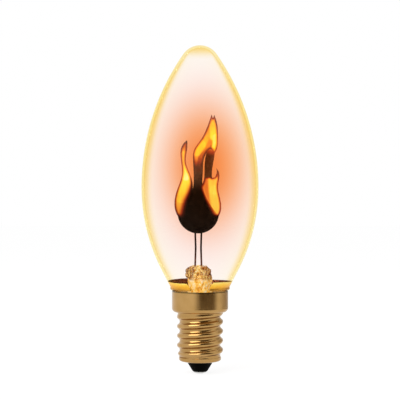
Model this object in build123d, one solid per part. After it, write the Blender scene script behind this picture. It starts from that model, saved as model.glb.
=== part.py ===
"""Flicker-flame candle bulb: clear glass, two flame-shaped electrodes in neon, small Edison screw cap.

Millimetres. +Z runs up the axis of the lamp, from the face of the centre contact at z = 0 to the tip of the
glass. The flame is seen flat from the -Y side. The thread is right-handed.
"""

import os
from math import acos, atan2, cos, hypot, pi, sin, sqrt, tan

from build123d import *

# Envelope: blown glass, candle shape
OVERALL_LENGTH = 98.0
BULB_DIAMETER = 35.0
WIDEST_HEIGHT = 55.6
NOSE_RADIUS = 6.06
GLASS_WALL = 0.7
NECK_CONE_LENGTH = 5.3
LIP_OVERHANG = 0.5
LIP_HEIGHT = 1.0
LIP_CORNER = 0.4
LIP_CLEARANCE = 0.2
NECK_LENGTH = 5.0

# Cap: thin brass, skirt and rolled round thread
CAP_HEIGHT = 24.7
CAP_WALL = 0.25
SKIRT_DIAMETER = 16.8
SKIRT_HEIGHT = 6.4
SKIRT_LEDGE = 0.3
THREAD_DIAMETER = 13.8
THREAD_PITCH = 2.822
THREAD_DEPTH = 0.8
THREAD_FADE = 1.4
THREAD_START = 4.9
THREAD_CREST_HEIGHT = 9.8
SHELL_END_DIAMETER = 12.6
SHELL_END_HEIGHT = 3.25
SHELL_END_RISE = 0.6
SHELL_END_CORNER = 0.6
CEMENT_GAP = 0.4
CEMENT_RECESS = 0.4
CEMENT_DROP = 0.4

# Centre contact and its insulator
INSULATOR_DIAMETER = 7.6
INSULATOR_TIP_DIAMETER = 4.7
INSULATOR_TIP_CORNER = 0.3
INSULATOR_PLUG_RISE = 1.4
INSULATOR_CLEARANCE = 0.05
EYELET_DIAMETER = 3.8
EYELET_THICKNESS = 0.25
EYELET_BARREL_DIAMETER = 1.4
EYELET_BARREL_LENGTH = 1.5
TIP_SOLDER_DIAMETER = 3.2
TIP_SOLDER_FLAT = 1.8
TIP_SOLDER_HEIGHT = 0.3

# Stem: flare tube with a pressed foot
FLARE_TUBE_DIAMETER = 7.2
FLARE_WALL = 0.7
FLARE_BEND_RADIUS = 4.5
PRESS_WIDTH = 7.3
PRESS_THICKNESS = 4.6
PRESS_HEIGHT = 4.2
PRESS_TOP_HEIGHT = 32.6
PRESS_SIDE_ROUND = 1.6
PRESS_EDGE_ROUND = 0.9
EXHAUST_DIAMETER = 2.8
EXHAUST_BORE = 1.6
EXHAUST_LENGTH = 15.4
EXHAUST_HOLE = 0.9
EXHAUST_HOLE_DROP = 2.3

# Mount: the flame and its wires stand a little to the left of the axis
MOUNT_OFFSET = -0.5
WIRE_DIAMETER = 0.56
WIRE_SPACING = 1.87
WIRE_BOW = 0.15
WIRE_SEAL_DEPTH = 0.5
WELD_WIDTH = 0.95
WELD_THICKNESS = 0.32
WELD_LENGTH = 5.6
PLATE_THICKNESS = 0.3
PLATE_GAP = 1.7

# Flame plates, closed below by a round bowl
FLAME_BASE_HEIGHT = 41.76
FLAME_HEIGHT = 35.5
BOWL_RADIUS = 6.2
BOWL_DEPTH = 5.15

# Leads and resistor inside the cap
LEAD_DIAMETER = 0.36
LEAD_SPREAD = 4.3
LEAD_BEND = 0.6
LEAD_ROOM = 0.7
RESISTOR_OFFSET = 3.7
RESISTOR_DIAMETER = 2.2
RESISTOR_LENGTH = 6.6
RESISTOR_BOTTOM_HEIGHT = 8.6
RESISTOR_CAP_DIAMETER = 2.6
RESISTOR_CAP_LENGTH = 1.3
RESISTOR_CAP_WALL = 0.15
RESISTOR_LEAD_DIAMETER = 0.5
RESISTOR_LEAD_LENGTH = 1.9
RESISTOR_LEAD_DROP = 1.2
FERRULE_DIAMETER = 1.0
FERRULE_LENGTH = 2.0
RIM_SOLDER_DIAMETER = 0.9

# Worked out from the sizes above
BULB_RADIUS = BULB_DIAMETER / 2
SKIRT_RADIUS = SKIRT_DIAMETER / 2
SKIRT_BOTTOM = CAP_HEIGHT - SKIRT_HEIGHT
SKIRT_BORE_RADIUS = SKIRT_RADIUS - CAP_WALL
LIP_RADIUS = SKIRT_RADIUS + LIP_OVERHANG
LIP_BOTTOM = CAP_HEIGHT + LIP_CLEARANCE
NECK_RADIUS = SKIRT_BORE_RADIUS - CEMENT_GAP
NECK_BORE_RADIUS = NECK_RADIUS - GLASS_WALL
NECK_BOTTOM = LIP_BOTTOM - NECK_LENGTH
CREST_RADIUS = THREAD_DIAMETER / 2
ROOT_RADIUS = CREST_RADIUS - THREAD_DEPTH
SKIRT_CORNER = SKIRT_RADIUS - CREST_RADIUS - SKIRT_LEDGE
SHELL_END_RADIUS = SHELL_END_DIAMETER / 2
INSULATOR_RADIUS = INSULATOR_DIAMETER / 2
INSULATOR_TIP_HEIGHT = TIP_SOLDER_HEIGHT + EYELET_THICKNESS
PRESS_BOTTOM = PRESS_TOP_HEIGHT - PRESS_HEIGHT
BOWL_HALF_WIDTH = sqrt(BOWL_RADIUS**2 - (BOWL_RADIUS - BOWL_DEPTH) ** 2)
WIRE_Y = (PLATE_GAP - WIRE_DIAMETER) / 2
WIRE_FOOT = PRESS_TOP_HEIGHT - WIRE_SEAL_DEPTH
WELD_BOTTOM = FLAME_BASE_HEIGHT + WIRE_DIAMETER
LEAD_X = LEAD_SPREAD / 2
LEAD_TOP = PRESS_BOTTOM - LEAD_ROOM
GLAND_RADIUS = (NECK_RADIUS + SKIRT_BORE_RADIUS) / 2
RESISTOR_TOP = RESISTOR_BOTTOM_HEIGHT + RESISTOR_LENGTH
RESISTOR_LEAD_TOP = RESISTOR_TOP + RESISTOR_LEAD_LENGTH


def on_circle(centre, radius, angle):
    """The point of a circle at an angle in radians, in the plane of a half section."""
    return centre[0] + radius * cos(angle), centre[1] + radius * sin(angle)


def arc(centre, radius, start, end):
    """An arc of a circle between two angles in radians."""
    middle = (start + end) / 2
    return ThreePointArc(
        on_circle(centre, radius, start), on_circle(centre, radius, middle), on_circle(centre, radius, end)
    )


def turned(*edges):
    """A solid turned about the axis of the lamp from the edges of its half section."""
    return revolve(Plane.XZ * make_face(list(edges)), Axis.Z)


def turned_outline(*points):
    """A solid turned about the axis of the lamp from a half section with straight sides."""
    return turned(*Polyline(*points, close=True).edges())


def rod(radius, bottom, top, x=0.0):
    """An upright cylinder between two heights."""
    return Pos(x, 0, bottom) * Cylinder(radius, top - bottom, align=(Align.CENTER, Align.CENTER, Align.MIN))


def wire_along(path, diameter):
    """A round wire along a path of straight runs and tangent arcs."""
    return sweep(Plane(path @ 0, z_dir=path % 0) * Circle(diameter / 2), path=path)


def envelope_body(inset):
    """The candle shape as a solid, or the shape of its inside at an inset from the outer face."""
    rise = OVERALL_LENGTH - WIDEST_HEIGHT
    flank = (BULB_RADIUS**2 + rise**2 - 2 * rise * NOSE_RADIUS) / (2 * (BULB_RADIUS - NOSE_RADIUS))
    flank_centre = (BULB_RADIUS - flank, WIDEST_HEIGHT)
    nose_centre = (0.0, OVERALL_LENGTH - NOSE_RADIUS)
    nose_angle = atan2(nose_centre[1] - flank_centre[1], -flank_centre[0])

    lip = (LIP_RADIUS, LIP_BOTTOM + LIP_HEIGHT)
    inward = BULB_RADIUS - lip[0]
    drop = WIDEST_HEIGHT - lip[1]
    belly = (inward**2 + drop**2 - NECK_CONE_LENGTH**2) / (2 * inward)
    belly_centre = (BULB_RADIUS - belly, WIDEST_HEIGHT)
    reach = hypot(lip[0] - belly_centre[0], drop)
    cone_angle = atan2(-drop, lip[0] - belly_centre[0]) + acos(belly / reach)
    cone_top = on_circle(belly_centre, belly - inset, cone_angle)
    cone_foot = on_circle(lip, -inset, cone_angle)

    upper = [
        arc(nose_centre, NOSE_RADIUS - inset, pi / 2, nose_angle),
        arc(flank_centre, flank - inset, nose_angle, 0),
        arc(belly_centre, belly - inset, 0, cone_angle),
    ]
    if inset:
        ledge = LIP_BOTTOM + inset
        ledge_radius = cone_foot[0] - (cone_foot[1] - ledge) * tan(-cone_angle)
        inner_lip = [(ledge_radius, ledge), (NECK_BORE_RADIUS, ledge)]
        lower = Polyline(cone_top, *inner_lip, (NECK_BORE_RADIUS, NECK_BOTTOM), (0, NECK_BOTTOM))
    else:
        corner = (lip[0] - LIP_CORNER, LIP_BOTTOM + LIP_CORNER)
        under_lip = [(corner[0], LIP_BOTTOM), (NECK_RADIUS, LIP_BOTTOM)]
        lower = (
            Polyline(cone_top, cone_foot, (lip[0], corner[1]))
            + arc(corner, LIP_CORNER, 0, -pi / 2)
            + Polyline(*under_lip, (NECK_RADIUS, NECK_BOTTOM), (0, NECK_BOTTOM))
        )
    axis = Line((0, NECK_BOTTOM), (0, OVERALL_LENGTH - inset))
    return turned(*upper, *lower.edges(), axis)


def glass_envelope():
    """Blown envelope, open at the foot of its neck."""
    return envelope_body(0) - envelope_body(GLASS_WALL)


def knuckle(offset):
    """Height of the round thread over its root, at a distance along the axis from a crest."""
    quarter = THREAD_PITCH / 4
    half_depth = THREAD_DEPTH / 2
    round_radius = (quarter**2 + half_depth**2) / (2 * half_depth)
    along = abs((offset + THREAD_PITCH / 2) % THREAD_PITCH - THREAD_PITCH / 2)
    if along <= quarter:
        return THREAD_DEPTH - round_radius + sqrt(round_radius**2 - along**2)
    return round_radius - sqrt(round_radius**2 - (THREAD_PITCH / 2 - along) ** 2)


def thread_radius(height, angle):
    """Radius of the thread; its ridge fades out at the foot and its groove fades out on top."""
    ridge = knuckle(height - THREAD_CREST_HEIGHT - THREAD_PITCH * angle / (2 * pi)) / THREAD_DEPTH
    foot_fade = min(1, max(0, (height - THREAD_START) / THREAD_FADE))
    top_fade = min(1, max(0, (SKIRT_BOTTOM - height) / THREAD_FADE))
    return ROOT_RADIUS + THREAD_DEPTH * foot_fade * (1 - top_fade * (1 - ridge))


def thread_body(inset, bottom, top):
    """The threaded length as a solid, lofted through level sections."""
    sections_per_turn = 10
    points_per_section = 20
    steps = round((top - bottom) / THREAD_PITCH * sections_per_turn)
    sections = []
    for step in range(steps + 1):
        height = bottom + (top - bottom) * step / steps
        ring = []
        for point in range(points_per_section):
            angle = 2 * pi * point / points_per_section
            radius = thread_radius(height, angle) - inset
            ring.append((radius * cos(angle), radius * sin(angle), height))
        sections.append(Wire([Edge.make_spline(ring, periodic=True)]))
    return Solid.make_loft(sections)


def end_height(radius, inset):
    """Height of the coned end of the shell at a radius, or of its inside face."""
    slope = SHELL_END_RISE / (SHELL_END_RADIUS - INSULATOR_RADIUS)
    return SHELL_END_HEIGHT + slope * (radius - INSULATOR_RADIUS) + inset * sqrt(1 + slope**2)


def shell_end(inset, top):
    """The end of the shell as a solid, up to a level, or the shape of its inside."""
    outer = SHELL_END_RADIUS - inset
    outline = [(0, end_height(0, inset)), (outer, end_height(outer, inset)), (outer, top), (0, top)]
    face = make_face(Polyline(*outline, close=True).edges())
    corner = face.vertices().sort_by(Axis.X)[-2:].sort_by(Axis.Y)[0]
    return revolve(Plane.XZ * fillet(corner, SHELL_END_CORNER - inset), Axis.Z)


def skirt_body(inset, top):
    """The skirt as a solid, or the shape of its inside."""
    outer = SKIRT_RADIUS - inset
    floor = SKIRT_BOTTOM + inset
    corner = (SKIRT_RADIUS - SKIRT_CORNER, SKIRT_BOTTOM + SKIRT_CORNER)
    return turned(
        Line((0, floor), (corner[0], floor)),
        arc(corner, SKIRT_CORNER - inset, -pi / 2, 0),
        *Polyline((outer, corner[1]), (outer, top), (0, top), (0, floor)).edges(),
    )


def screw_shell():
    """Thin brass shell: coned end with its eye, round thread, and skirt."""
    thread_outside = thread_body(0, THREAD_START, SKIRT_BOTTOM)
    outside = skirt_body(0, CAP_HEIGHT) + thread_outside + shell_end(0, THREAD_START)
    thread_inside = thread_body(CAP_WALL, THREAD_START - CAP_WALL, SKIRT_BOTTOM + CAP_WALL)
    inside = skirt_body(CAP_WALL, CAP_HEIGHT) + thread_inside + shell_end(CAP_WALL, THREAD_START - CAP_WALL)
    eye = rod(INSULATOR_RADIUS, 0, THREAD_START)
    return outside - inside - eye


def base_insulator():
    """Black glass: a plug cast into the end of the shell and a cone below it, bored for the eyelet."""
    tip = INSULATOR_TIP_DIAMETER / 2
    cone_top = SHELL_END_HEIGHT
    corner = INSULATOR_TIP_HEIGHT + INSULATOR_TIP_CORNER
    cone = turned_outline(
        (0, INSULATOR_TIP_HEIGHT),
        (tip - INSULATOR_TIP_CORNER, INSULATOR_TIP_HEIGHT),
        (tip, corner),
        (INSULATOR_RADIUS, cone_top),
        (INSULATOR_RADIUS, end_height(INSULATOR_RADIUS, CAP_WALL)),
        (0, end_height(INSULATOR_RADIUS, CAP_WALL)),
    )
    plug = shell_end(CAP_WALL, THREAD_START - CAP_WALL)
    collar = ROOT_RADIUS - CAP_WALL - INSULATOR_CLEARANCE
    plug += rod(collar, THREAD_START - CAP_WALL, THREAD_START + INSULATOR_PLUG_RISE)
    bore = rod(EYELET_BARREL_DIAMETER / 2, 0, PRESS_BOTTOM)
    return cone + plug - bore


def contact_eyelet():
    """Brass eyelet under the insulator, its barrel up the bore."""
    flange = rod(EYELET_DIAMETER / 2, TIP_SOLDER_HEIGHT, INSULATOR_TIP_HEIGHT)
    barrel = rod(EYELET_BARREL_DIAMETER / 2, TIP_SOLDER_HEIGHT, INSULATOR_TIP_HEIGHT + EYELET_BARREL_LENGTH)
    return flange + barrel - rod(RESISTOR_LEAD_DIAMETER / 2, 0, PRESS_BOTTOM)


def contact_solder():
    """Solder button under the eyelet, worn flat where it meets the holder's contact."""
    rim = (TIP_SOLDER_DIAMETER / 2, TIP_SOLDER_HEIGHT)
    flat = (TIP_SOLDER_FLAT / 2, 0)
    shoulder = ((rim[0] + flat[0]) / 2 + TIP_SOLDER_HEIGHT / 4, TIP_SOLDER_HEIGHT / 3)
    return turned(
        ThreePointArc(rim, shoulder, flat), *Polyline(flat, (0, 0), (0, TIP_SOLDER_HEIGHT), rim).edges()
    )


def basing_cement(shell_lead_solid):
    """Cement ring between the neck and the skirt, with the shell lead bedded in it."""
    bottom = NECK_BOTTOM - CEMENT_DROP
    top = CAP_HEIGHT - CEMENT_RECESS
    ring = skirt_body(CAP_WALL, top) & rod(SKIRT_RADIUS, bottom, top)
    return ring - rod(NECK_RADIUS, bottom, CAP_HEIGHT) - shell_lead_solid


def flare_body(inset, top):
    """The flare tube as a solid up to a level, or the shape of its inside: a trumpet spread into the neck."""
    radius = FLARE_TUBE_DIAMETER / 2 - inset
    centre_x = FLARE_TUBE_DIAMETER / 2 + FLARE_BEND_RADIUS
    inner_bend = FLARE_BEND_RADIUS + FLARE_WALL
    bend_height = NECK_BOTTOM + sqrt(inner_bend**2 - (centre_x - NECK_BORE_RADIUS) ** 2)
    bend = FLARE_BEND_RADIUS + inset
    drop = sqrt(bend**2 - (centre_x - NECK_BORE_RADIUS) ** 2)
    rim_angle = atan2(-drop, NECK_BORE_RADIUS - centre_x)
    rim = [(NECK_BORE_RADIUS, bend_height - drop)]
    if not inset:
        rim.append((NECK_BORE_RADIUS, NECK_BOTTOM))
    return turned(
        arc((centre_x, bend_height), bend, -pi, rim_angle),
        *Polyline(*rim, (0, NECK_BOTTOM), (0, top), (radius, top), (radius, bend_height)).edges(),
    )


def press_block():
    """The pressed foot of the stem, a rounded block round the wires."""
    outline = RectangleRounded(PRESS_WIDTH, PRESS_THICKNESS, PRESS_SIDE_ROUND)
    block = extrude(Pos(MOUNT_OFFSET, 0, PRESS_BOTTOM) * outline, amount=PRESS_HEIGHT)
    ends = block.faces().sort_by(Axis.Z)
    return fillet(ends[-1].edges() + ends[0].edges(), PRESS_EDGE_ROUND)


def glass_stem(sealed_wires):
    """Flare tube with its pressed foot, sealed round the wires, and the passage to the exhaust tube."""
    stem = flare_body(0, PRESS_BOTTOM + PRESS_EDGE_ROUND) - flare_body(FLARE_WALL, PRESS_BOTTOM)
    stem += press_block()
    hole_height = PRESS_TOP_HEIGHT - EXHAUST_HOLE_DROP
    stem -= rod(EXHAUST_BORE / 2, PRESS_BOTTOM, hole_height)
    hole = Cylinder(EXHAUST_HOLE / 2, PRESS_THICKNESS, align=(Align.CENTER, Align.CENTER, Align.MIN))
    stem -= Pos(0, 0, hole_height - EXHAUST_HOLE / 2) * Rot(90, 0, 0) * hole
    return stem - sealed_wires


def exhaust_tube():
    """Tube through which the bulb was filled, melted shut at its lower end."""
    bottom = PRESS_BOTTOM - EXHAUST_LENGTH
    outer = EXHAUST_DIAMETER / 2
    bore = EXHAUST_BORE / 2
    outside = rod(outer, bottom + outer, PRESS_BOTTOM) + Pos(0, 0, bottom + outer) * Sphere(outer)
    inside = rod(bore, bottom + 2 * outer, PRESS_BOTTOM) + Pos(0, 0, bottom + 2 * outer) * Sphere(bore)
    return outside - inside


def at(width, height):
    """A point of a flame outline in hundredths of the flame's height, from the middle of the bowl's foot."""
    return width * FLAME_HEIGHT / 100, height * FLAME_HEIGHT / 100


def flame_face(*curves):
    """A flame outline on the flat, closed below by the round bowl."""
    bowl = ThreePointArc((BOWL_HALF_WIDTH, BOWL_DEPTH), (0, 0), (-BOWL_HALF_WIDTH, BOWL_DEPTH))
    return Pos(MOUNT_OFFSET, FLAME_BASE_HEIGHT) * make_face([bowl, *curves])


def front_flame_plate():
    """Front electrode: a slim tongue on the left and a tall hooked one in the middle with a forked tip."""
    left_tip = at(-9.4, 78.4)
    left_valley = at(-4.9, 36.2)
    fork_left = at(11.0, 100.0)
    fork_notch = at(12.3, 96.8)
    fork_right = at(13.4, 99.6)
    hook_tip = at(13.0, 66.9)
    bowl_left = (-BOWL_HALF_WIDTH, BOWL_DEPTH)
    bowl_right = (BOWL_HALF_WIDTH, BOWL_DEPTH)
    left_side = [at(-20.0, 23.4), at(-18.2, 35.5), at(-13.9, 49.0), at(-14.4, 60.3), at(-14.6, 71.0)]
    back_of_hook = [at(-3.9, 49.0), at(-4.4, 60.3), at(-3.9, 69.3), at(2.4, 79.2), at(7.9, 90.7)]
    right_side = [at(10.1, 71.0), at(5.6, 65.4), at(3.9, 51.8), at(3.4, 41.7), at(9.3, 25.6)]
    face = flame_face(
        Spline(bowl_left, *left_side, left_tip),
        Spline(left_tip, at(-9.4, 71.5), at(-10.4, 59.7), at(-7.2, 50.4), left_valley),
        Spline(left_valley, *back_of_hook, fork_left),
        Line(fork_left, fork_notch),
        Line(fork_notch, fork_right),
        Spline(fork_right, at(15.8, 92.1), at(16.6, 80.3), at(15.2, 70.1), hook_tip),
        Spline(hook_tip, *right_side, bowl_right),
    )
    return extrude(Plane.XZ.offset(PLATE_GAP / 2) * face, amount=PLATE_THICKNESS)


def rear_flame_plate():
    """Rear electrode: a short tongue on each side of an upright one."""
    right_tip = at(15.2, 54.9)
    right_valley = at(13.8, 47.2)
    middle_foot = at(11.6, 46.8)
    middle_tip = at(11.5, 80.8)
    left_valley = at(-4.5, 35.2)
    left_tip = at(-10.1, 52.4)
    bowl_left = (-BOWL_HALF_WIDTH, BOWL_DEPTH)
    bowl_right = (BOWL_HALF_WIDTH, BOWL_DEPTH)
    face = flame_face(
        Spline(bowl_right, at(19.3, 23.1), at(17.9, 31.3), at(16.6, 39.4), at(17.6, 50.4), right_tip),
        Spline(right_tip, at(15.4, 50.4), right_valley),
        Line(right_valley, middle_foot),
        Spline(middle_foot, at(12.0, 56.1), at(13.7, 66.5), middle_tip),
        Spline(middle_tip, at(6.8, 68.2), at(5.2, 56.9), at(4.8, 45.9), left_valley),
        Spline(left_valley, at(-6.5, 43.7), left_tip),
        Spline(left_tip, at(-13.8, 46.2), at(-16.9, 33.8), at(-18.6, 23.4), bowl_left),
    )
    return extrude(Plane.XZ.offset(-PLATE_GAP / 2) * face, amount=-PLATE_THICKNESS)


def support_wire(side):
    """Wire from the pressed glass to a plate, bowed a little inward, its upper end flattened for the weld.

    The side is -1 for the wire on the left, which carries the front plate, and 1 for the other.
    """
    x = MOUNT_OFFSET + side * WIRE_SPACING / 2
    y = side * WIRE_Y
    middle = (PRESS_TOP_HEIGHT + WELD_BOTTOM) / 2
    half_turn = atan2(WIRE_BOW, WELD_BOTTOM - middle) / 2
    route = FilletPolyline(
        (x, y, WIRE_FOOT),
        (x, y, PRESS_TOP_HEIGHT),
        (x - side * WIRE_BOW, y, middle),
        (x, y, WELD_BOTTOM),
        radius=WIRE_SEAL_DEPTH / tan(half_turn) / 2,
    )
    weld_y = side * (PLATE_GAP - WELD_THICKNESS) / 2
    weld = Pos(x, weld_y, WELD_BOTTOM) * Box(
        WELD_WIDTH, WELD_THICKNESS, WELD_LENGTH, align=(Align.CENTER, Align.CENTER, Align.MIN)
    )
    return wire_along(route, WIRE_DIAMETER) + weld


def seal_wire(side):
    """Wire sealed in the pressed glass, spread from the spacing of the plates to that of the leads."""
    inner_x = MOUNT_OFFSET + side * WIRE_SPACING / 2
    outer_x = side * LEAD_X
    inner_y = side * WIRE_Y
    spread_top = WIRE_FOOT - WIRE_DIAMETER
    spread_bottom = spread_top - abs(outer_x - inner_x) / 2
    route = FilletPolyline(
        (inner_x, inner_y, WIRE_FOOT),
        (inner_x, inner_y, spread_top),
        (outer_x, 0, spread_bottom),
        (outer_x, 0, LEAD_TOP),
        radius=WIRE_DIAMETER / 2,
    )
    return wire_along(route, WIRE_DIAMETER)


def shell_lead():
    """Lead from the front plate's seal wire, down the stem and up between neck and skirt to the rim."""
    gland_y = sqrt(GLAND_RADIUS**2 - LEAD_X**2)
    turn_height = NECK_BOTTOM - LEAD_ROOM
    route = FilletPolyline(
        (-LEAD_X, 0, LEAD_TOP),
        (-LEAD_X, 0, turn_height),
        (-LEAD_X, gland_y, turn_height),
        (-LEAD_X, gland_y, CAP_HEIGHT),
        radius=LEAD_BEND,
    )
    return wire_along(route, LEAD_DIAMETER)


def resistor_feed_lead():
    """Lead from the rear plate's seal wire to the top of the resistor's own lead."""
    bend_top = RESISTOR_LEAD_TOP + FERRULE_LENGTH + (RESISTOR_OFFSET - LEAD_X)
    route = FilletPolyline(
        (LEAD_X, 0, LEAD_TOP),
        (LEAD_X, 0, bend_top),
        (RESISTOR_OFFSET, 0, bend_top - (RESISTOR_OFFSET - LEAD_X)),
        (RESISTOR_OFFSET, 0, RESISTOR_LEAD_TOP),
        radius=LEAD_BEND,
    )
    return wire_along(route, LEAD_DIAMETER)


def lead_ferrule():
    """Crimped tube over the joint of the feed lead and the resistor's lead."""
    bottom = RESISTOR_LEAD_TOP - FERRULE_LENGTH / 2
    top = RESISTOR_LEAD_TOP + FERRULE_LENGTH / 2
    tube = rod(FERRULE_DIAMETER / 2, bottom, top, RESISTOR_OFFSET)
    tube -= rod(RESISTOR_LEAD_DIAMETER / 2, bottom, RESISTOR_LEAD_TOP, RESISTOR_OFFSET)
    return tube - rod(LEAD_DIAMETER / 2, RESISTOR_LEAD_TOP, top, RESISTOR_OFFSET)


def resistor_body():
    """Ceramic rod of the series resistor."""
    bottom = RESISTOR_BOTTOM_HEIGHT + RESISTOR_CAP_WALL
    return rod(RESISTOR_DIAMETER / 2, bottom, RESISTOR_TOP - RESISTOR_CAP_WALL, RESISTOR_OFFSET)


def resistor_end_caps():
    """The two pressed caps on the ends of the ceramic rod."""
    caps = []
    for bottom, inner in (
        (RESISTOR_BOTTOM_HEIGHT, RESISTOR_BOTTOM_HEIGHT + RESISTOR_CAP_WALL),
        (RESISTOR_TOP - RESISTOR_CAP_LENGTH, RESISTOR_TOP - RESISTOR_CAP_LENGTH),
    ):
        cap = rod(RESISTOR_CAP_DIAMETER / 2, bottom, bottom + RESISTOR_CAP_LENGTH, RESISTOR_OFFSET)
        hollow = RESISTOR_CAP_LENGTH - RESISTOR_CAP_WALL
        caps.append(cap - rod(RESISTOR_DIAMETER / 2, inner, inner + hollow, RESISTOR_OFFSET))
    return Compound(caps)


def resistor_upper_lead():
    """The resistor's own lead, up into the ferrule."""
    return rod(RESISTOR_LEAD_DIAMETER / 2, RESISTOR_TOP, RESISTOR_LEAD_TOP, RESISTOR_OFFSET)


def resistor_lower_lead():
    """The resistor's own lead, across to the axis and down the eyelet to the solder."""
    turn_height = RESISTOR_BOTTOM_HEIGHT - RESISTOR_LEAD_DROP
    route = FilletPolyline(
        (RESISTOR_OFFSET, 0, RESISTOR_BOTTOM_HEIGHT),
        (RESISTOR_OFFSET, 0, turn_height),
        (0, 0, turn_height),
        (0, 0, TIP_SOLDER_HEIGHT),
        radius=LEAD_BEND,
    )
    return wire_along(route, RESISTOR_LEAD_DIAMETER)


def rim_solder(*neighbours):
    """Drop of solder over the rim of the skirt, where the shell lead comes up on the back."""
    gland_angle = acos(-LEAD_X / GLAND_RADIUS)
    place = Pos(SKIRT_BORE_RADIUS * cos(gland_angle), SKIRT_BORE_RADIUS * sin(gland_angle), CAP_HEIGHT)
    drop = place * Sphere(RIM_SOLDER_DIAMETER / 2)
    for neighbour in neighbours:
        drop -= neighbour
    return drop


def build_nodes():
    """Every piece of the bulb by name."""
    nodes = {
        "glass_envelope": glass_envelope(),
        "screw_shell": screw_shell(),
        "base_insulator": base_insulator(),
        "contact_eyelet": contact_eyelet(),
        "contact_solder": contact_solder(),
        "front_flame_plate": front_flame_plate(),
        "rear_flame_plate": rear_flame_plate(),
        "front_support_wire": support_wire(-1),
        "rear_support_wire": support_wire(1),
        "front_seal_wire": seal_wire(-1),
        "rear_seal_wire": seal_wire(1),
        "exhaust_tube": exhaust_tube(),
        "shell_lead": shell_lead(),
        "resistor_feed_lead": resistor_feed_lead(),
        "lead_ferrule": lead_ferrule(),
        "resistor_body": resistor_body(),
        "resistor_end_caps": resistor_end_caps(),
        "resistor_upper_lead": resistor_upper_lead(),
        "resistor_lower_lead": resistor_lower_lead(),
    }
    sealed = ("front_support_wire", "rear_support_wire", "front_seal_wire", "rear_seal_wire")
    nodes["glass_stem"] = glass_stem([nodes[name] for name in sealed])
    nodes["basing_cement"] = basing_cement(nodes["shell_lead"])
    beside_drop = ("screw_shell", "glass_envelope", "basing_cement", "shell_lead")
    nodes["rim_solder"] = rim_solder(*[nodes[name] for name in beside_drop])
    return nodes


os.makedirs("parts", exist_ok=True)
for name, solid in build_nodes().items():
    export_step(solid, f"parts/{name}.step")
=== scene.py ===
"""Looks of the flicker-flame candle bulb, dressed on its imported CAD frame. Metres, +Z up, seen from -Y."""

import math

import bmesh
import bpy
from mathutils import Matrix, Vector, geometry, noise


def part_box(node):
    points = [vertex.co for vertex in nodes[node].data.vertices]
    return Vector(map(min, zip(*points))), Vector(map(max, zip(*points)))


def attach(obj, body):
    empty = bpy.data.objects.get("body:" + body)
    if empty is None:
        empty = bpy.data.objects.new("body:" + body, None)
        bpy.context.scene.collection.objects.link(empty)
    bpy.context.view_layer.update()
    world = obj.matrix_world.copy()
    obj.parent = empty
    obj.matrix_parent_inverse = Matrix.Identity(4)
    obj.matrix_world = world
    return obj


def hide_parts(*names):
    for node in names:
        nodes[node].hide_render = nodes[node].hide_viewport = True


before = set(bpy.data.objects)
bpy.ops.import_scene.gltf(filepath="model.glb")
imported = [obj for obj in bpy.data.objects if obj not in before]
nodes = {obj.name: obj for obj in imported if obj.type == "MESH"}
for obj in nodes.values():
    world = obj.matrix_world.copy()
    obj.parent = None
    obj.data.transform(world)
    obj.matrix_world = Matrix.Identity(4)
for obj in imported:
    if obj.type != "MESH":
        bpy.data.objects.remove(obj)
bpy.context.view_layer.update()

MM = 0.001


def rgb(red, green, blue):
    """An opaque colour."""
    return (red, green, blue, 1.0)


WHITE = rgb(1, 1, 1)

# Camera: level, long lens, at the height of the middle of the picture
PICTURE_SIDE = 400
PIXELS_PER_MM = 3.343
CAMERA_DISTANCE = 350 * MM
CAMERA_HEIGHT = 51.75 * MM
CAMERA_NEAR = 10 * MM
SENSOR_WIDTH = 36.0
TRANSPARENT_BOUNCES = 32

# Studio: angles round the lamp from the camera, in degrees, positive to the camera's right
FILL_LEVEL = 0.62
SOFTBOX_ANGLE = -38
SOFTBOX_TILT = 38
SOFTBOX_DISTANCE = 0.5
SOFTBOX_SIDES = (0.44, 0.36)
SOFTBOX_BRIGHTNESS = 3.2
FLAG_RADIUS = 130 * MM
FLAG_STEPS = 32
FLAG_TONE = rgb(0.15, 0.105, 0.06)
LOW_FLAG = {"angles": (-30, 80), "fades": (36, 28), "heights": (0.5 * MM, 52 * MM)}
HIGH_FLAG = {"angles": (-5, 66), "fades": (7, 24), "heights": (36 * MM, 200 * MM)}
SIDE_FLAG = {"angles": (78, 172), "fades": (40, 20), "heights": (0.5 * MM, 120 * MM)}
SIDE_FLAG_TONE = rgb(0.62, 0.58, 0.52)
FLOOR_SIDE = 4.0
FLOOR_TONE = 0.8
FLOOR_SEEN_SHARE = 0.22
FLOOR_LIFT = 0.885

# Noise: grains are noise scales per metre, stretches the same for each axis
NOISE_DETAIL = 3.0

# Brass: painted shade darkens the root of the thread, the skirt is duller, and a thin dark line of painted
# shadow runs along its upper edge
BRASS_GRAIN = 260.0
BRASS_PATCHES = (0.35, 0.7)
BRASS_DARK = rgb(0.45, 0.265, 0.09)
BRASS_LIGHT = rgb(0.5, 0.3, 0.11)
BRASS_ROUGH = 0.1
BRASS_PATCH_ROUGH = 0.1
SKIRT_RADII = (7.2 * MM, 8.0 * MM)
SKIRT_ROUGH = 0.05
# The thread's root is darkened toward a brown: painted shade in its creases.
ROOT_SHADE_RADII = (6.75 * MM, 6.15 * MM)
ROOT_PAINTED_SHADE = rgb(0.36, 0.2, 0.06)
ROOT_SHADE_SHARE = 0.3
# A thin dark line along the skirt's upper edge: painted shadow of the gap under the glass.
RIM_SHADOW_HEIGHTS = (24.25 * MM, 24.5 * MM)
RIM_SHADOW_TONE = rgb(0.1, 0.06, 0.015)
RIM_SHADOW_SHARE = 0.85
RING_STRETCH = (60, 60, 5200)
RING_DETAIL = 2.0
RING_STRENGTH = 0.12
RING_HEIGHT = 0.02 * MM

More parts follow.
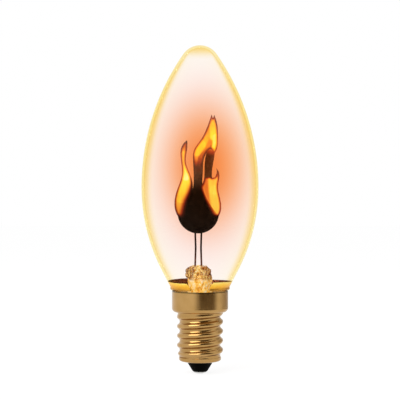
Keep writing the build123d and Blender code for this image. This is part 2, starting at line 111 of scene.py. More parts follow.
# Plain metals and matt materials
PLAIN_PATCHES = (0.3, 0.7)
METAL_GRAIN = 900.0
METAL_PATCH_ROUGH = 0.2
MATT_GRAIN = 700.0
MATT_PATCH_ROUGH = 0.15
MATT_SHINE = 0.3
MATT_RELIEF_STRENGTH = 0.2
MATT_RELIEF_HEIGHT = 0.03 * MM
SOLDER = {"dark": rgb(0.6, 0.6, 0.58), "light": rgb(0.78, 0.78, 0.76), "rough": 0.3}
COPPER = {"dark": rgb(0.5, 0.2, 0.1), "light": rgb(0.66, 0.3, 0.18), "rough": 0.3}
TIN_PLATE = {"dark": rgb(0.52, 0.52, 0.5), "light": rgb(0.66, 0.66, 0.64), "rough": 0.25}
CERAMIC = {"dark": rgb(0.6, 0.48, 0.3), "light": rgb(0.74, 0.62, 0.44), "rough": 0.4}
CEMENT = {"dark": rgb(0.55, 0.45, 0.3), "light": rgb(0.7, 0.6, 0.44), "rough": 0.75}
BLACK_GLASS = {
    "dark": rgb(0.0008, 0.0008, 0.0005),
    "light": rgb(0.002, 0.002, 0.001),
    "rough": 0.45,
    "shine": 0.02,
}

# Support wires: lighter brown toward the foot, a painted highlight
WIRE_GRAIN = 900.0
WIRE_DARK = rgb(0.008, 0.002, 0.0015)
WIRE_LIGHT = rgb(0.024, 0.006, 0.0045)
WIRE_FOOT_HIGHLIGHT = rgb(0.14, 0.06, 0.04)
WIRE_FOOT = (37.5 * MM, 32.5 * MM)
WIRE_ROUGH = 0.4
WIRE_GRAIN_ROUGH = 0.15
WIRE_SHINE = 0.1

# Glass wall: the tint is that of the rim and the tip
RIM_TINT = rgb(0.987, 0.923, 0.72)
RIM_BLEND = 0.5
RIM_FACING = (0.44, 0.72)
RIM_HEIGHTS = (30 * MM, 85 * MM)
RIM_FOOT_SHARE = 0.6
TIP_HEIGHTS = (94.2 * MM, 97.3 * MM)
GLOSS_SHARE = 0.05
GLOSS_IOR = 1.02
RIPPLE_GRAIN = 70.0
RIPPLE_ROUGH = 0.04
AMBER = rgb(0.98, 0.8, 0.0)
WALL_DENSITY = 82.0

# Flame plates: a grid of points fine enough to carry the glow
WELD_GAP = 0.001 * MM
FLAT_NORMAL = 0.9
WALL_NORMAL = 0.1
PLATE_GRID = 0.22 * MM
GRID_CLEARANCE = 0.55
SAME_POINT = 1e-9
NO_LENGTH = 1e-18

# Heat of the plates: points are millimetres from the foot of the bowl, seen from the front
BOWL_FOOT = (-0.5 * MM, 41.76 * MM)
RIM_WIDTHS = (0.1, 0.85)
RIM_HEAT = 0.34
BODY_LEFT = ((-4.7, 4.6), (-4.4, 7.0), (-3.8, 9.8), (-2.5, 12.6), (-1.6, 15.0), (-1.4, 16.7))
BODY_RIGHT = ((5.2, 4.6), (3.5, 7.6), (1.8, 10.4), (0.8, 12.9), (0.5, 14.9))
BODY_TOP = 16.7
BODY_EDGE = (-0.9, 1.7)
BODY_FOOT = (4.4, 6.2)
LOBE_TOP = (17.1, 16.1)
LOBE_TIP_FROM = 4.6

# Strokes of heat: two ends, the reach at each end and the heat at each end
STROKE_CORE = 0.45
FRONT_STROKES = (
    ((-5.6, 5.6), (-5.2, 11.0), (3.4, 3.6), (0.42, 0.64)),
    ((-5.0, 11.0), (-3.7, 17.4), (3.6, 3.0), (0.64, 0.88)),
    ((-3.7, 17.4), (-4.2, 23.5), (3.0, 2.0), (0.94, 0.7)),
    ((-4.2, 23.5), (-3.9, 26.0), (2.0, 1.6), (0.7, 0.42)),
    ((-3.9, 26.0), (-3.3, 27.8), (1.5, 1.0), (0.42, 0.24)),
    ((5.0, 6.6), (2.0, 13.6), (2.0, 1.6), (0.62, 0.5)),
    ((-1.4, 19.8), (-0.9, 23.6), (1.5, 1.6), (0.12, 0.66)),
    ((-0.6, 24.2), (0.9, 26.6), (2.0, 2.4), (0.73, 0.79)),
    ((0.9, 26.6), (2.6, 29.6), (2.4, 2.2), (0.74, 0.58)),
    ((2.6, 29.6), (4.0, 34.0), (2.4, 2.0), (0.58, 0.62)),
    ((4.7, 29.0), (4.4, 32.2), (2.2, 1.9), (0.86, 0.66)),
    ((4.8, 23.9), (5.3, 26.8), (1.7, 1.7), (0.78, 0.98)),
    ((5.3, 26.8), (5.3, 28.8), (1.7, 1.8), (0.96, 0.94)),
    ((-0.2, 19.6), (0.3, 22.8), (2.0, 2.2), (0.09, 0.35)),
    ((0.3, 22.8), (2.4, 25.6), (2.2, 2.2), (0.3, 0.5)),
    ((3.4, 27.2), (3.7, 29.0), (1.7, 1.8), (0.5, 0.66)),
)
LOBE_STROKES = (
    ((5.8, 5.8), (5.5, 9.6), (3.2, 3.0), (0.68, 0.74)),
    ((5.3, 9.6), (4.8, 13.0), (3.0, 2.7), (0.72, 0.86)),
    ((4.8, 13.0), (4.5, 15.8), (2.7, 2.6), (0.86, 0.74)),
    ((3.4, 9.2), (1.9, 16.0), (2.2, 2.0), (0.5, 0.46)),
    ((6.0, 16.2), (5.6, 19.2), (1.3, 1.0), (0.6, 0.36)),
)
TONGUE_STROKES = (
    ((3.3, 22.9), (3.8, 24.9), (2.6, 2.4), (0.03, 0.36)),
)

# Colours of the plates: glow by heat, ash brown above the given heights, soot below
FLAME_STOPS = (
    (0.0, rgb(0.0, 0.0, 0.0)),
    (0.14, rgb(0.06, 0.008, 0.004)),
    (0.3, rgb(0.38, 0.048, 0.011)),
    (0.5, rgb(0.9, 0.355, 0.04)),
    (0.68, rgb(1.0, 0.77, 0.055)),
    (0.85, rgb(1.0, 1.2, 0.095)),
    (1.0, rgb(1.05, 1.4, 0.85)),
)
STREAK_STRETCH = (900, 900, 140)
STREAK_SHARE = 0.3
STREAK_LEAST = 0.85
SOOT = rgb(0.006, 0.0045, 0.0025)
SOOT_GRAIN = 900.0
SOOT_ROUGH = 0.6
SOOT_GRAIN_ROUGH = 0.2
SOOT_SHINE = 0.1
ASH_GRAIN = (-0.4, 0.8)
FRONT_ASH = rgb(0.12, 0.115, 0.12)
FRONT_ASH_HEIGHTS = (53.5 * MM, 61.0 * MM)
REAR_ASH = rgb(0.155, 0.165, 0.19)
REAR_ASH_HEIGHTS = (55.5 * MM, 58.0 * MM)

# Tint of the glow, low and high on each plate: the hook is a purer yellow, the rear lobe a paler one
TINT_HEIGHTS = (64 * MM, 68 * MM)
FRONT_TINTS = (rgb(1.0, 1.0, 1.0), rgb(1.0, 0.9, 0.38))
REAR_TINTS = (rgb(1.0, 1.0, 2.0), rgb(1.0, 1.0, 2.0))

# Getter film: seen at the outside of the neck's glass, which magnifies it
LIP_RADIUS = 8.9 * MM
LIP_TOP = 25.9 * MM
NECK_SLOPE = 0.523
FILM_BOTTOM = 25.15 * MM
FILM_TOP = 27.5 * MM
FILM_DEPTH = 0.06 * MM
FILM_THICKNESS = 0.03 * MM
FILM_HALF_ANGLE = 72
FILM_CORNER = 0.09
FILM_END_SHARE = 0.4
FILM_RAGGED = 0.03 * MM
FILM_WAVES = 9
FILM_NOISE_HEIGHT = 3.1
FILM_ROWS = 14
FILM_COLUMNS = 96
FILM_PATCHES = {"getter_film_right": (0, -0.2 * MM), "getter_film_left": (180, 0.28 * MM)}
FILM_GRAIN = 350.0
FILM_MOTTLE = 0.5
FILM_DARK = rgb(0.05, 0.017, 0.009)
FILM_BROWN = rgb(0.2, 0.06, 0.018)
FILM_METALLIC = 0.85
FILM_ROUGH = 0.2
FILM_PATCH_ROUGH = 0.2
GOLD_STOPS = (
    (0.05, rgb(0.5, 0.23, 0.03)),
    (0.4, rgb(0.88, 0.42, 0.03)),
    (0.75, rgb(1.0, 0.62, 0.07)),
    (1.0, rgb(1.0, 0.76, 0.2)),
)

# Stem: pressed glass with a rough skin, ribbed at the sides of the press, where dark and bright stripes of
# painted shade and highlight follow the ribs
STEM_VOXEL = 0.14 * MM
STEM_LUMPS = 0.3 * MM
STEM_LUMP_SIZE = (0.8 * MM, 0.8 * MM, 1.2 * MM)
FINE_LUMP_SHARE = 0.4
FINE_LUMP_SCALE = 2.3
STEM_SMOOTH_BELOW = (23.6 * MM, 25.4 * MM)
PRESS_FOOT = (27.4 * MM, 28.8 * MM)
PRESS_MIDDLE = -0.5 * MM
SHOULDER_HEIGHTS = (30.4 * MM, 32.6 * MM)
SHOULDER_SIDES = (1.4 * MM, 3.6 * MM)
TOP_DROP = 0.5 * MM
SHOULDER_DROP = 0.75 * MM
RIB_SPACING = 0.62 * MM
RIB_DEPTH = 0.1 * MM
RIB_SIDES = (1.0 * MM, 2.6 * MM)
RIB_WANDER = 2.5
HOLE_PLACE = (-1.05 * MM, 30.25 * MM)
HOLE_WIDTH = 0.42 * MM
HOLE_DEPTH = 0.7 * MM
FLAW_STRETCH = (1300, 1300, 800)
STEM_CLEAR = 0.92
STEM_CLOUDED = 0.6
RIBS_CLOUDED = 0.6
# A faint glow in the stem, more in the flare: painted glow, since the stem is no lamp.
STEM_PAINTED_GLOW = (0.03, 0.17)
STEM_ROUGH = 0.1
STEM_IOR = 1.2
STEM_COAT = 0.5
STEM_COAT_ROUGH = 0.06
STEM_DENSITY = 90.0
PRESS_STOPS = (
    (0.34, rgb(0.34, 0.13, 0.02)),
    (0.42, rgb(0.86, 0.5, 0.12)),
    (0.52, rgb(1.0, 0.86, 0.42)),
    (0.64, rgb(1.0, 0.98, 0.8)),
)
# Stripes along the ribs: painted shade and highlight.
RIB_SHADE_AND_HIGHLIGHT_STOPS = (
    (0.0, rgb(0.16, 0.05, 0.008)),
    (0.4, rgb(0.68, 0.33, 0.06)),
    (0.85, rgb(1.0, 0.82, 0.36)),
)
FLARE_STOPS = (
    (0.34, rgb(0.62, 0.28, 0.03)),
    (0.45, rgb(1.0, 0.64, 0.12)),
    (0.56, rgb(1.0, 0.84, 0.36)),
    (0.64, rgb(1.0, 0.97, 0.75)),
)

# Gas: a painted glow round the flame, made by holding back green in a wide egg round the flame and blue in a
# narrower one
GLOW_MIDDLE = (1.6 * MM, 1.5 * MM, 61.7 * MM)
GREEN_REACH = (11.6 * MM, 10.0 * MM, 18.0 * MM)
GREEN_DENSITY = 79.0
BLUE_REACH = (10.2 * MM, 8.8 * MM, 15.8 * MM)
BLUE_DENSITY = 181.0
PAINTED_GLOW_PINK = rgb(0.95, 0.0, 1.0)
PAINTED_GLOW_YELLOW = rgb(1.0, 1.0, 0.0)
GAS_TINT = rgb(1.0, 0.984, 1.0)
GAS_MIDDLE = Vector((0, 0, 55 * MM))
GAS_FLOOR = 25.0 * MM
GAS_SHRINK = 0.996
GAS_STEP_RATE = 0.2


# Node helpers


def new_material(name):
    """An empty node material and its tree."""
    material = bpy.data.materials.new(name)
    material.use_nodes = True
    material.node_tree.nodes.clear()
    return material, material.node_tree


def feed(tree, socket, value):
    """Links a socket to another, or sets its value."""
    if isinstance(value, bpy.types.NodeSocket):
        tree.links.new(value, socket)
    else:
        socket.default_value = value


def add(tree, kind, inputs=None, **settings):
    """A node with its settings and its inputs, given by name or by place."""
    made = tree.nodes.new(kind)
    for name, value in settings.items():
        setattr(made, name, value)
    for key, value in (inputs or {}).items():
        feed(tree, made.inputs[key], value)
    return made


def math_node(tree, operation, *values):
    """The result of a Math node."""
    return add(tree, "ShaderNodeMath", dict(enumerate(values)), operation=operation).outputs[0]


def vector_math(tree, operation, *values):
    """A Vector Math node."""
    return add(tree, "ShaderNodeVectorMath", dict(enumerate(values)), operation=operation)


def vector_node(tree, operation, *values):
    """The vector that a Vector Math node gives."""
    return vector_math(tree, operation, *values).outputs[0]


def measure_node(tree, operation, *values):
    """The number that a Vector Math node gives."""
    return vector_math(tree, operation, *values).outputs["Value"]


def smooth_step(tree, value, start, end):
    """0 at start and 1 at end, eased at both."""
    made = add(tree, "ShaderNodeMapRange", {0: value, 1: start, 2: end}, interpolation_type="SMOOTHSTEP")
    return made.outputs[0]


def mix_colour(tree, share, first, second):
    """A blend of two colours."""
    made = add(tree, "ShaderNodeMix", data_type="RGBA")
    feed(tree, made.inputs["Factor"], share)
    feed(tree, made.inputs[6], first)
    feed(tree, made.inputs[7], second)
    return made.outputs[2]


def ramp(tree, value, stops):
    """A colour ramp through (place, colour) stops."""
    made = add(tree, "ShaderNodeValToRGB", {0: value})
    elements = made.color_ramp.elements
    while len(elements) < len(stops):
        elements.new(0.5)
    for element, (place, colour) in zip(elements, stops):
        element.position = place
        element.color = colour
    return made.outputs[0]


def place_on(tree):
    """Place on the object in metres."""
    return add(tree, "ShaderNodeTexCoord").outputs["Object"]


def axes_on(tree):
    """X, y and z of the place on the object."""
    return add(tree, "ShaderNodeSeparateXYZ", {0: place_on(tree)}).outputs


def height_on(tree):
    """Height of the place on the object."""
    return axes_on(tree)[2]


def from_axis(tree):
    """The level way from the lamp's axis to the place on the object."""
    return vector_node(tree, "MULTIPLY", place_on(tree), (1, 1, 0))


def stretched(tree, scale):
    """Place on the object, stretched by a scale for each axis."""
    return add(tree, "ShaderNodeMapping", {"Vector": place_on(tree), "Scale": scale}).outputs[0]


def noise_at(tree, point, scale=1.0, detail=NOISE_DETAIL):
    """A noise value at a point."""
    made = add(tree, "ShaderNodeTexNoise", {"Vector": point, "Scale": scale, "Detail": detail})
    return made.outputs["Fac"]


def bumped(tree, height, strength, distance):
    """A normal bent by a height."""
    made = add(tree, "ShaderNodeBump", {"Strength": strength, "Distance": distance, "Height": height})
    return made.outputs[0]


def principled(tree, inputs):
    """A Principled shader with its inputs."""
    return add(tree, "ShaderNodeBsdfPrincipled", inputs)


def finish_material(tree, surface, volume=None):
    """Links the shader, and what fills it, to the output."""
    out = tree.nodes.new("ShaderNodeOutputMaterial")
    tree.links.new(surface.outputs[0], out.inputs["Surface"])
    if volume is not None:
        tree.links.new(volume.outputs[0], out.inputs["Volume"])


# Materials


def brass_tone(tree, patches, radius):
    """Colour of the brass: patchy, with painted shade in the thread's root and a painted shadow line along
    the rim.
    """
    tone = mix_colour(tree, smooth_step(tree, patches, *BRASS_PATCHES), BRASS_DARK, BRASS_LIGHT)
    # Painted shade: darker in the thread's root.
    root = math_node(tree, "MULTIPLY", smooth_step(tree, radius, *ROOT_SHADE_RADII), ROOT_SHADE_SHARE)
    tone = mix_colour(tree, root, tone, ROOT_PAINTED_SHADE)
    # Painted shadow: a thin dark line along the skirt's upper edge.
    rim_shadow = smooth_step(tree, height_on(tree), *RIM_SHADOW_HEIGHTS)
    return mix_colour(tree, math_node(tree, "MULTIPLY", rim_shadow, RIM_SHADOW_SHARE), tone, RIM_SHADOW_TONE)


def brass_material():
    """Drawn brass: satin, faintly ringed by the rolling."""
    material, tree = new_material("lamp_brass")
    patches = noise_at(tree, place_on(tree), BRASS_GRAIN)
    rings = noise_at(tree, stretched(tree, RING_STRETCH), detail=RING_DETAIL)
    radius = measure_node(tree, "LENGTH", from_axis(tree))
    skirt = smooth_step(tree, radius, *SKIRT_RADII)
    duller = math_node(tree, "MULTIPLY_ADD", skirt, SKIRT_ROUGH, BRASS_ROUGH)
    shader = principled(tree, {
        "Base Color": brass_tone(tree, patches, radius),
        "Metallic": 1.0,
        "Roughness": math_node(tree, "MULTIPLY_ADD", patches, BRASS_PATCH_ROUGH, duller),
        "Normal": bumped(tree, rings, RING_STRENGTH, RING_HEIGHT),
    })
    finish_material(tree, shader)
    return material


def metal_material(name, dark, light, rough):
    """A plain metal whose tone and gloss vary a little over its surface."""
    material, tree = new_material(name)
    patches = noise_at(tree, place_on(tree), METAL_GRAIN)
    shader = principled(tree, {
        "Base Color": mix_colour(tree, smooth_step(tree, patches, *PLAIN_PATCHES), dark, light),
        "Metallic": 1.0,
        "Roughness": math_node(tree, "MULTIPLY_ADD", patches, METAL_PATCH_ROUGH, rough),
    })
    finish_material(tree, shader)
    return material


def matt_material(name, dark, light, rough, shine=MATT_SHINE):
    """A plain material that is no metal, with a fine grain in its tone and relief."""
    material, tree = new_material(name)
    patches = noise_at(tree, place_on(tree), MATT_GRAIN)
    shader = principled(tree, {
        "Base Color": mix_colour(tree, smooth_step(tree, patches, *PLAIN_PATCHES), dark, light),
        "Roughness": math_node(tree, "MULTIPLY_ADD", patches, MATT_PATCH_ROUGH, rough),
        "Specular IOR Level": shine,
        "Normal": bumped(tree, patches, MATT_RELIEF_STRENGTH, MATT_RELIEF_HEIGHT),
    })
    finish_material(tree, shader)
    return material


def wire_material():
    """Oxidised wire: black with a breath of maroon; lighter brown at its foot, a painted highlight."""
    material, tree = new_material("maroon_wire")
    grain = noise_at(tree, place_on(tree), WIRE_GRAIN)
    black = mix_colour(tree, grain, WIRE_DARK, WIRE_LIGHT)
    # Painted highlight: lighter brown toward the wire's foot.
    foot = smooth_step(tree, height_on(tree), *WIRE_FOOT)
    shader = principled(tree, {
        "Base Color": mix_colour(tree, foot, black, WIRE_FOOT_HIGHLIGHT),
        "Roughness": math_node(tree, "MULTIPLY_ADD", grain, WIRE_GRAIN_ROUGH, WIRE_ROUGH),
        "Specular IOR Level": WIRE_SHINE,
    })
    finish_material(tree, shader)
    return material


def wall_tint(tree):
    """Tint of the glass wall: amber where one looks along it and at the tip, where it is thick."""
    facing = add(tree, "ShaderNodeLayerWeight", {"Blend": RIM_BLEND}).outputs["Facing"]
    height = height_on(tree)
    rise = smooth_step(tree, height, *RIM_HEIGHTS)
    strength = math_node(tree, "MULTIPLY_ADD", rise, 1 - RIM_FOOT_SHARE, RIM_FOOT_SHARE)
    rim = math_node(tree, "MULTIPLY", smooth_step(tree, facing, *RIM_FACING), strength)
    share = math_node(tree, "MAXIMUM", rim, smooth_step(tree, height, *TIP_HEIGHTS))
    return mix_colour(tree, share, WHITE, RIM_TINT)


def clear_glass_material():
    """Thin clear glass with a faint gloss, amber along its outline."""
    material, tree = new_material("lamp_glass")
    clear = add(tree, "ShaderNodeBsdfTransparent", {"Color": wall_tint(tree)})
    ripple = noise_at(tree, place_on(tree), RIPPLE_GRAIN)
    gloss = principled(tree, {
        "Base Color": WHITE,
        "Roughness": math_node(tree, "MULTIPLY", ripple, RIPPLE_ROUGH),
        "Transmission Weight": 1.0,
        "IOR": GLOSS_IOR,
    })
    shader = add(tree, "ShaderNodeMixShader", {0: GLOSS_SHARE, 1: clear.outputs[0], 2: gloss.outputs[0]})
    body = add(tree, "ShaderNodeVolumeAbsorption", {"Color": AMBER, "Density": WALL_DENSITY})
    finish_material(tree, shader, body)
    return material


def press_colour(tree, flaws, aside, depth, sides):
    """Colour of the press: amber with brown flaws in the middle, and at both sides wandering stripes of
    painted shade and highlight along the ribs.
    """
    round_about = math_node(tree, "ADD", aside, math_node(tree, "ABSOLUTE", depth))
    wander = math_node(tree, "MULTIPLY", flaws, RIB_WANDER)
    turns = math_node(tree, "MULTIPLY_ADD", round_about, math.tau / RIB_SPACING, wander)
    # Painted shade and highlight in stripes that follow the ribs.
    ribs = math_node(tree, "MULTIPLY_ADD", math_node(tree, "COSINE", turns), 0.5, 0.5)
    return mix_colour(tree, sides, ramp(tree, flaws, PRESS_STOPS), ramp(tree, ribs, RIB_SHADE_AND_HIGHLIGHT_STOPS))


def stem_glass_material():
    """Pressed glass: amber in the press, clouded gold in the flare tube under it, and a painted glow that is
    faint in the press and more in the flare.
    """
    material, tree = new_material("lamp_stem_glass")
    flaws = noise_at(tree, stretched(tree, FLAW_STRETCH))
    across, depth, height = axes_on(tree)
    aside = math_node(tree, "ABSOLUTE", math_node(tree, "SUBTRACT", across, PRESS_MIDDLE))
    sides = smooth_step(tree, aside, *RIB_SIDES)
    foot = smooth_step(tree, height, PRESS_FOOT[1], PRESS_FOOT[0])
    press = press_colour(tree, flaws, aside, depth, sides)
    colour = mix_colour(tree, foot, press, ramp(tree, flaws, FLARE_STOPS))
    # Painted glow: the stem glows a little, most in the flare.
    painted_glow = math_node(tree, "MULTIPLY_ADD", foot, STEM_PAINTED_GLOW[1] - STEM_PAINTED_GLOW[0], STEM_PAINTED_GLOW[0])
    clouded = math_node(tree, "MAXIMUM", foot, math_node(tree, "MULTIPLY", sides, RIBS_CLOUDED))
    shader = principled(tree, {
        "Base Color": colour,
        "Emission Color": colour,
        "Emission Strength": painted_glow,
        "Roughness": math_node(tree, "MULTIPLY", flaws, STEM_ROUGH),
        "Transmission Weight": math_node(tree, "MULTIPLY_ADD", clouded, -STEM_CLOUDED, STEM_CLEAR),
        "IOR": STEM_IOR,
        "Coat Weight": STEM_COAT,
        "Coat Roughness": STEM_COAT_ROUGH,
    })
    body = add(tree, "ShaderNodeVolumeAbsorption", {"Color": AMBER, "Density": STEM_DENSITY})
    finish_material(tree, shader, body)
    return material


def flame_glow(tree, height, tints):
    """Colour of the glow, from the heat stored on the plate's points, streaked and tinted."""
    heat = add(tree, "ShaderNodeAttribute", attribute_name="flame_heat").outputs["Fac"]
    streaks = noise_at(tree, stretched(tree, STREAK_STRETCH))
    streaked = math_node(tree, "MULTIPLY_ADD", streaks, STREAK_SHARE, STREAK_LEAST)
    flicker = math_node(tree, "MULTIPLY", heat, streaked)
    tint = mix_colour(tree, smooth_step(tree, height, *TINT_HEIGHTS), *tints)
    return vector_node(tree, "MULTIPLY", ramp(tree, flicker, FLAME_STOPS), tint)


def flame_material(name, ash, ash_heights, tints):
    """Blackened plate with ash brown tongues, glowing where it is hot."""
    material, tree = new_material(name)
    height = height_on(tree)
    grain = noise_at(tree, place_on(tree), SOOT_GRAIN)
    rise = smooth_step(tree, height, *ash_heights)
    brown = math_node(tree, "MULTIPLY", rise, smooth_step(tree, grain, *ASH_GRAIN))
    shader = principled(tree, {
        "Base Color": mix_colour(tree, brown, SOOT, ash),
        "Roughness": math_node(tree, "MULTIPLY_ADD", grain, SOOT_GRAIN_ROUGH, SOOT_ROUGH),
        "Specular IOR Level": SOOT_SHINE,
        "Emission Color": flame_glow(tree, height, tints),
        "Emission Strength": 1.0,
    })
    finish_material(tree, shader)
    return material


def film_material():
    """Golden getter film: bright through the glass, dark brown on its free side."""
    material, tree = new_material("getter_film")
    patches = noise_at(tree, place_on(tree), FILM_GRAIN)
    rise = add(tree, "ShaderNodeMapRange", {0: height_on(tree), 1: FILM_BOTTOM, 2: FILM_TOP}).outputs[0]
    mottle = math_node(tree, "MULTIPLY_ADD", patches, FILM_MOTTLE, -FILM_MOTTLE / 2)
    gold = ramp(tree, math_node(tree, "ADD", rise, mottle), GOLD_STOPS)
    dark = mix_colour(tree, patches, FILM_DARK, FILM_BROWN)
    normal = add(tree, "ShaderNodeNewGeometry").outputs["True Normal"]
    outward = measure_node(tree, "DOT_PRODUCT", normal, from_axis(tree))
    side = math_node(tree, "GREATER_THAN", outward, 0.0)
    shader = principled(tree, {
        "Base Color": mix_colour(tree, side, dark, gold),
        "Metallic": FILM_METALLIC,
        "Roughness": math_node(tree, "MULTIPLY_ADD", patches, FILM_PATCH_ROUGH, FILM_ROUGH),
    })
    finish_material(tree, shader)
    return material


def fading(tree, middle, reach, most):
    """A value that is most in the middle of a soft egg and fades to nothing round it."""
    shifted = vector_node(tree, "SUBTRACT", place_on(tree), middle)
    scaled = vector_node(tree, "DIVIDE", shifted, reach)
    square = measure_node(tree, "DOT_PRODUCT", scaled, scaled)
    fall = math_node(tree, "EXPONENT", math_node(tree, "MULTIPLY", square, -1.0))
    return math_node(tree, "MULTIPLY", fall, most)


def glow_material():
    """Neon gas tinted as a painted glow: it holds back green in a wide egg and blue in a narrower one, so it
    is pink, then orange round the flame.
    """
    material, tree = new_material("neon_gas")
    clear = add(tree, "ShaderNodeBsdfTransparent", {"Color": GAS_TINT})
    # Painted glow: the gas's tint stands for the light of the discharge round the flame.
    green_taken = fading(tree, GLOW_MIDDLE, GREEN_REACH, GREEN_DENSITY)
    blue_taken = fading(tree, GLOW_MIDDLE, BLUE_REACH, BLUE_DENSITY)
    pink = add(tree, "ShaderNodeVolumeAbsorption", {"Color": PAINTED_GLOW_PINK, "Density": green_taken})
    yellow = add(tree, "ShaderNodeVolumeAbsorption", {"Color": PAINTED_GLOW_YELLOW, "Density": blue_taken})
    both = add(tree, "ShaderNodeAddShader", {0: pink.outputs[0], 1: yellow.outputs[0]})
    finish_material(tree, clear, both)
    material.cycles.volume_step_rate = GAS_STEP_RATE
    return material


# Pieces


def object_from(name, mesh, material):
    """A mesh as an object in the scene, with one material."""
    made = bpy.data.objects.new(name, mesh)
    bpy.context.scene.collection.objects.link(made)
    mesh.materials.clear()
    mesh.materials.append(material)
    return made


def mesh_from(name, verts, faces):
    """A mesh from its points and faces."""
    mesh = bpy.data.meshes.new(name)
    mesh.from_pydata(verts, [], faces)
    mesh.update()
    return mesh


def two_skins(cells, count):
    """Faces of two skins whose points are count apart, joined by a wall along their border."""
    faces = []
    sides = set()
    for cell in cells:
        faces.append(cell)
        faces.append([n + count for n in reversed(cell)])
        sides.update(zip(cell, cell[1:] + cell[:1]))
    for here, there in sides:
        if (there, here) not in sides:
            faces.append([there, here, here + count, there + count])
    return faces


def clipped(value):
    """A value held between 0 and 1."""
    return max(0.0, min(1.0, value))


def eased(value, start, end):
    """0 at start and 1 at end, eased at both."""
    share = clipped((value - start) / (end - start))
    return share * share * (3 - 2 * share)


def between(ends, share):
    """The value at a share of the way from one end to the other."""
    return ends[0] + (ends[1] - ends[0]) * share


def plate_outline(node_name):
    """The outline of a flat CAD plate in x and z, in order, and the lowest and highest y of the plate."""
    low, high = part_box(node_name)
    work = bmesh.new()
    work.from_mesh(nodes[node_name].data)
    bmesh.ops.remove_doubles(work, verts=work.verts, dist=WELD_GAP)
    flat_edges = {e for f in work.faces if f.normal.y < -FLAT_NORMAL for e in f.edges}
    wall_edges = {e for f in work.faces if abs(f.normal.y) < WALL_NORMAL for e in f.edges}
    links = {}
    for edge in flat_edges & wall_edges:
        for here, there in (edge.verts, reversed(edge.verts)):
            links.setdefault(here, []).append(there)
    first = min(links, key=lambda v: v.co.z)
    loop, before, here = [], None, first
    while here is not first or not loop:
        loop.append((here.co.x, here.co.z))
        following = [v for v in links[here] if v is not before]
        before, here = here, following[0]
    work.free()
    return loop, low.y, high.y


def steps_of(loop):
    """The pairs of neighbours along a closed loop."""
    return zip(loop, loop[1:] + loop[:1])


def divided(loop, step):
    """A closed loop of points with none further apart than a step."""
    points = []
    for here, there in steps_of(loop):
        parts = max(1, math.ceil(math.dist(here, there) / step))
        for part in range(parts):
            points.append(tuple(Vector(here).lerp(Vector(there), part / parts)))
    return points


def gap_to_loop(point, loop):
    """Distance of a point from a closed loop."""
    spot = Vector(point)
    best = math.inf
    for here, there in steps_of(loop):
        start, run = Vector(here), Vector(there) - Vector(here)
        share = clipped((spot - start).dot(run) / max(run.length_squared, NO_LENGTH))
        best = min(best, (spot - start - run * share).length)
    return best


def inside_loop(point, loop):
    """True if a point lies inside a closed loop."""
    x, z = point
    inside = False
    for (x0, z0), (x1, z1) in steps_of(loop):
        if (z0 > z) != (z1 > z) and x < (x1 - x0) * (z - z0) / (z1 - z0) + x0:
            inside = not inside
    return inside


def grid_inside(outline):
    """Points of a triangular grid that lie well inside an outline."""
    low_x, high_x = min(p[0] for p in outline), max(p[0] for p in outline)
    low_z, high_z = min(p[1] for p in outline), max(p[1] for p in outline)
    row_step = PLATE_GRID * math.sqrt(3) / 2
    points = []
    for row in range(int((high_z - low_z) / row_step) + 1):
        for column in range(int((high_x - low_x) / PLATE_GRID) + 1):
            spot = (low_x + (column + row % 2 / 2) * PLATE_GRID, low_z + row * row_step)
            if inside_loop(spot, outline) and gap_to_loop(spot, outline) > PLATE_GRID * GRID_CLEARANCE:
                points.append(spot)
    return points


def plate_cells(outline):
    """Points that fill an outline and the triangles between them, all wound the same way."""
    loop = divided(outline, PLATE_GRID)
    points = [Vector(p) for p in loop + grid_inside(outline)]
    edges = [(n, (n + 1) % len(loop)) for n in range(len(loop))]
    flat, _, triangles, _, _, _ = geometry.delaunay_2d_cdt(points, edges, [], 1, SAME_POINT)
    cells = []
    for triangle in triangles:
        a, b, c = (flat[n] for n in triangle)
        cells.append(list(triangle) if (b - a).cross(c - a) > 0 else list(reversed(triangle)))
    return flat, cells


def stroke_heat(width, height, strokes):
    """Heat of a point, the most that any stroke of the flame gives it."""
    most = 0.0
    spot = Vector((width, height))
    for start, end, reach, heat in strokes:
        run = Vector(end) - Vector(start)
        share = clipped((spot - Vector(start)).dot(run) / run.length_squared)
        gap = (spot - Vector(start) - run * share).length
        wide = between(reach, share)
        most = max(most, between(heat, share) * eased(gap, wide, STROKE_CORE * wide))
    return most


def width_at(line, height):
    """Width of a line of points at a height, held beyond its ends."""
    for (low_width, low), (high_width, high) in zip(line, line[1:]):
        if height <= high:
            return between((low_width, high_width), max(0.0, (height - low) / (high - low)))
    return line[-1][0]


def front_heat(width, height, rim):
    """Heat of the front plate: none on the black body, the tongues and the hook glow."""
    heat = stroke_heat(width, height, FRONT_STROKES)
    if height > BODY_TOP:
        return heat * rim
    left = eased(width_at(BODY_LEFT, height) - width, *BODY_EDGE) * rim
    right = eased(width - width_at(BODY_RIGHT, height), *BODY_EDGE)
    return heat * max(left, right) * eased(height, *BODY_FOOT)


def rear_heat(width, height, rim):
    """Heat of the rear plate: its right lobe glows, and the ash brown tongue at its top."""
    lobe = stroke_heat(width, height, LOBE_STROKES) * eased(height, *BODY_FOOT) * rim
    if width < LOBE_TIP_FROM:
        lobe *= eased(height, *LOBE_TOP)
    return max(lobe, stroke_heat(width, height, TONGUE_STROKES))


def point_heat(point, outline, heat_of):
    """Heat of a point of a plate, less along the plate's rim."""
    width, height = (point.x - BOWL_FOOT[0]) / MM, (point.y - BOWL_FOOT[1]) / MM
    rim = eased(gap_to_loop((point.x, point.y), outline) / MM, *RIM_WIDTHS)
    return heat_of(width, height, between((RIM_HEAT, 1), rim))


